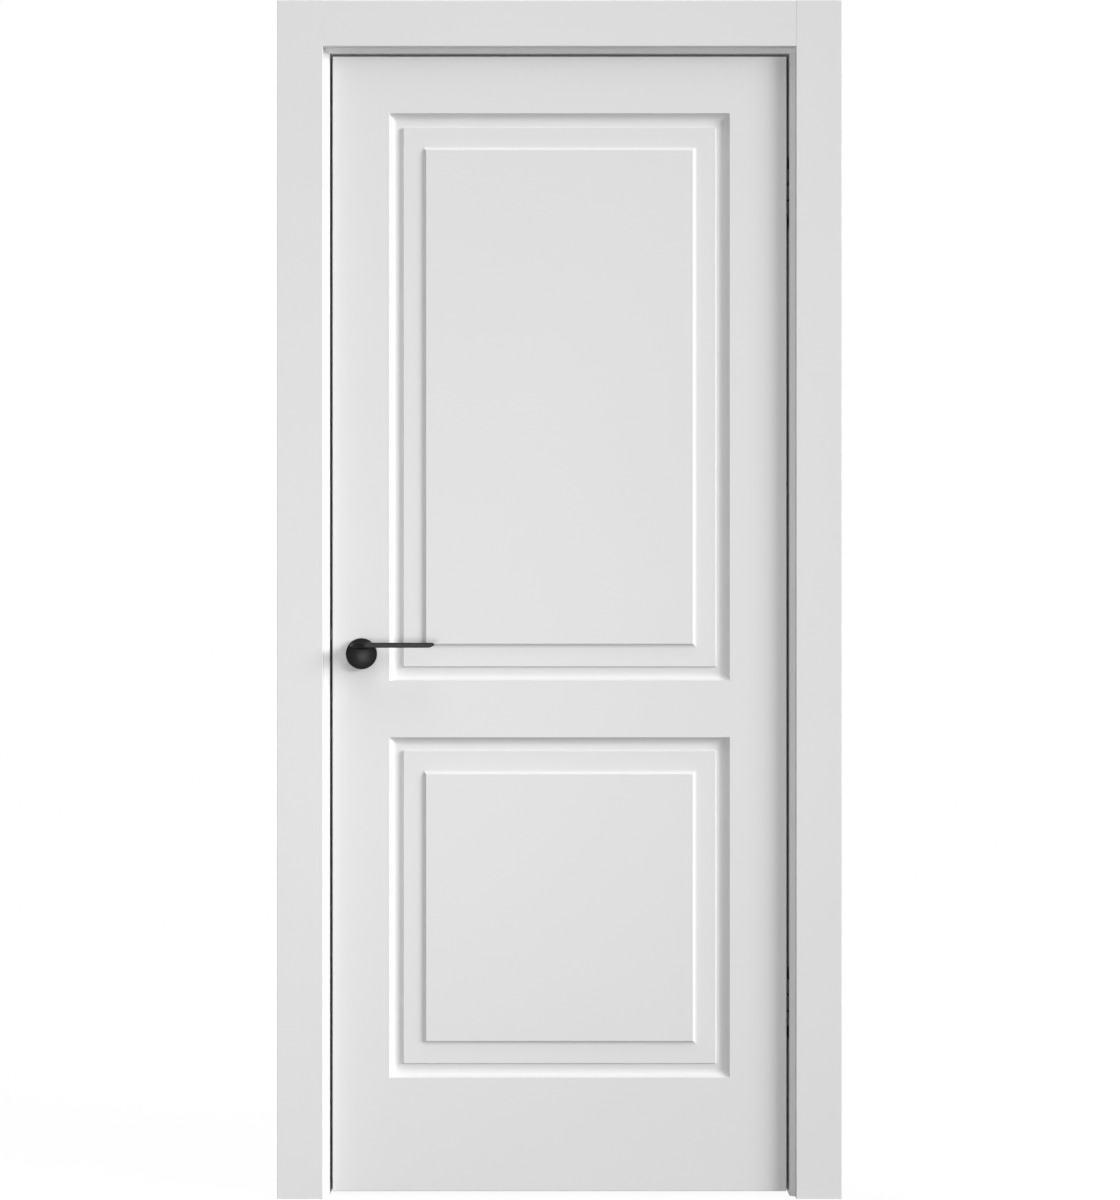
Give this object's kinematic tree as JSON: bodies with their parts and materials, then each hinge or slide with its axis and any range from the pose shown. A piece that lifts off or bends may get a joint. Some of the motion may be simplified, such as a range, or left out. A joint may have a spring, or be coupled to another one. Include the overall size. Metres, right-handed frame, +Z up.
{
  "type": "interior door",
  "caption": "White two-panel interior door leaf hinged in a rebated frame with flat casings, with a black lever handle on both sides.",
  "frame": {"origin": "at floor level on the outer face of the hinge jamb, in the plane of the wall's front face", "axes": "+X to the viewer's right, out of the hinge jamb into the wall; +Y from the viewer through the wall; +Z up"},
  "size_m": [0.99, 0.168, 2.101],
  "materials": {
    "white_enamel": "satin white enamel on smooth board",
    "core_board": "bare softwood and board, edges only",
    "seal_rubber": "matt dark seal",
    "black_metal": "matt black powder coat",
    "satin_steel": "satin"
  },
  "bodies": {
    "frame": {"hinge_jamb": "white_enamel", "latch_jamb": "white_enamel", "head_jamb": "white_enamel", "hinge_jamb_seal": "seal_rubber", "latch_jamb_seal": "seal_rubber", "head_jamb_seal": "seal_rubber", "front_casing_hinge_side": "white_enamel", "front_casing_latch_side": "white_enamel", "front_casing_head": "white_enamel", "back_casing_hinge_side": "white_enamel", "back_casing_latch_side": "white_enamel", "back_casing_head": "white_enamel", "strike_plate": "satin_steel", "upper_hinge_jamb_body": "black_metal", "lower_hinge_jamb_body": "black_metal"},
    "leaf": {"front_facing": "white_enamel", "back_facing": "white_enamel", "latch_stile": "core_board", "hinge_stile": "core_board", "top_rail": "core_board", "middle_rail": "core_board", "bottom_rail": "core_board", "upper_core": "core_board", "lower_core": "core_board", "latch_case": "satin_steel", "latch_faceplate": "satin_steel", "latch_bolt": "satin_steel", "upper_hinge_leaf_body": "black_metal", "lower_hinge_leaf_body": "black_metal", "front_rose": "black_metal", "back_rose": "black_metal"},
    "handle": {"front_lever_hub": "black_metal", "front_lever": "black_metal", "back_lever_hub": "black_metal", "back_lever": "black_metal", "spindle": "satin_steel"},
    "jamb_arms": {"upper_hinge_jamb_arms": "black_metal", "lower_hinge_jamb_arms": "black_metal"},
    "leaf_arms": {"upper_hinge_leaf_arm": "black_metal", "lower_hinge_leaf_arm": "black_metal"}
  },
  "joints": [
    {"name": "door_swing", "type": "hinge", "parent": "frame", "child": "leaf", "pos_m": [-0.045, 0.006, 0], "axis": [0, 0, 1], "range_deg": [0, 95]},
    {"name": "handle_turn", "type": "hinge", "parent": "leaf", "child": "handle", "pos_m": [-0.7935, 0.026, 0.9555], "axis": [0, 1, 0], "range_deg": [0, 45], "stiffness_Nm_per_rad": 1.5, "springref_deg": -20.05},
    {"name": "jamb_arm_swing", "type": "hinge", "parent": "frame", "child": "jamb_arms", "pos_m": [-0.034, 0.024, 0], "axis": [0, 0, 1], "range_deg": [0, 47.5]},
    {"name": "leaf_arm_swing", "type": "hinge", "parent": "leaf", "child": "leaf_arms", "pos_m": [-0.051, 0.028, 0], "axis": [0, 0, 1], "range_deg": [-38, 0]}
  ],
  "couplings": [
    {"joint": "jamb_arm_swing", "follows": "door_swing", "ratio": 0.5},
    {"joint": "leaf_arm_swing", "follows": "door_swing", "ratio": -0.4}
  ]
}
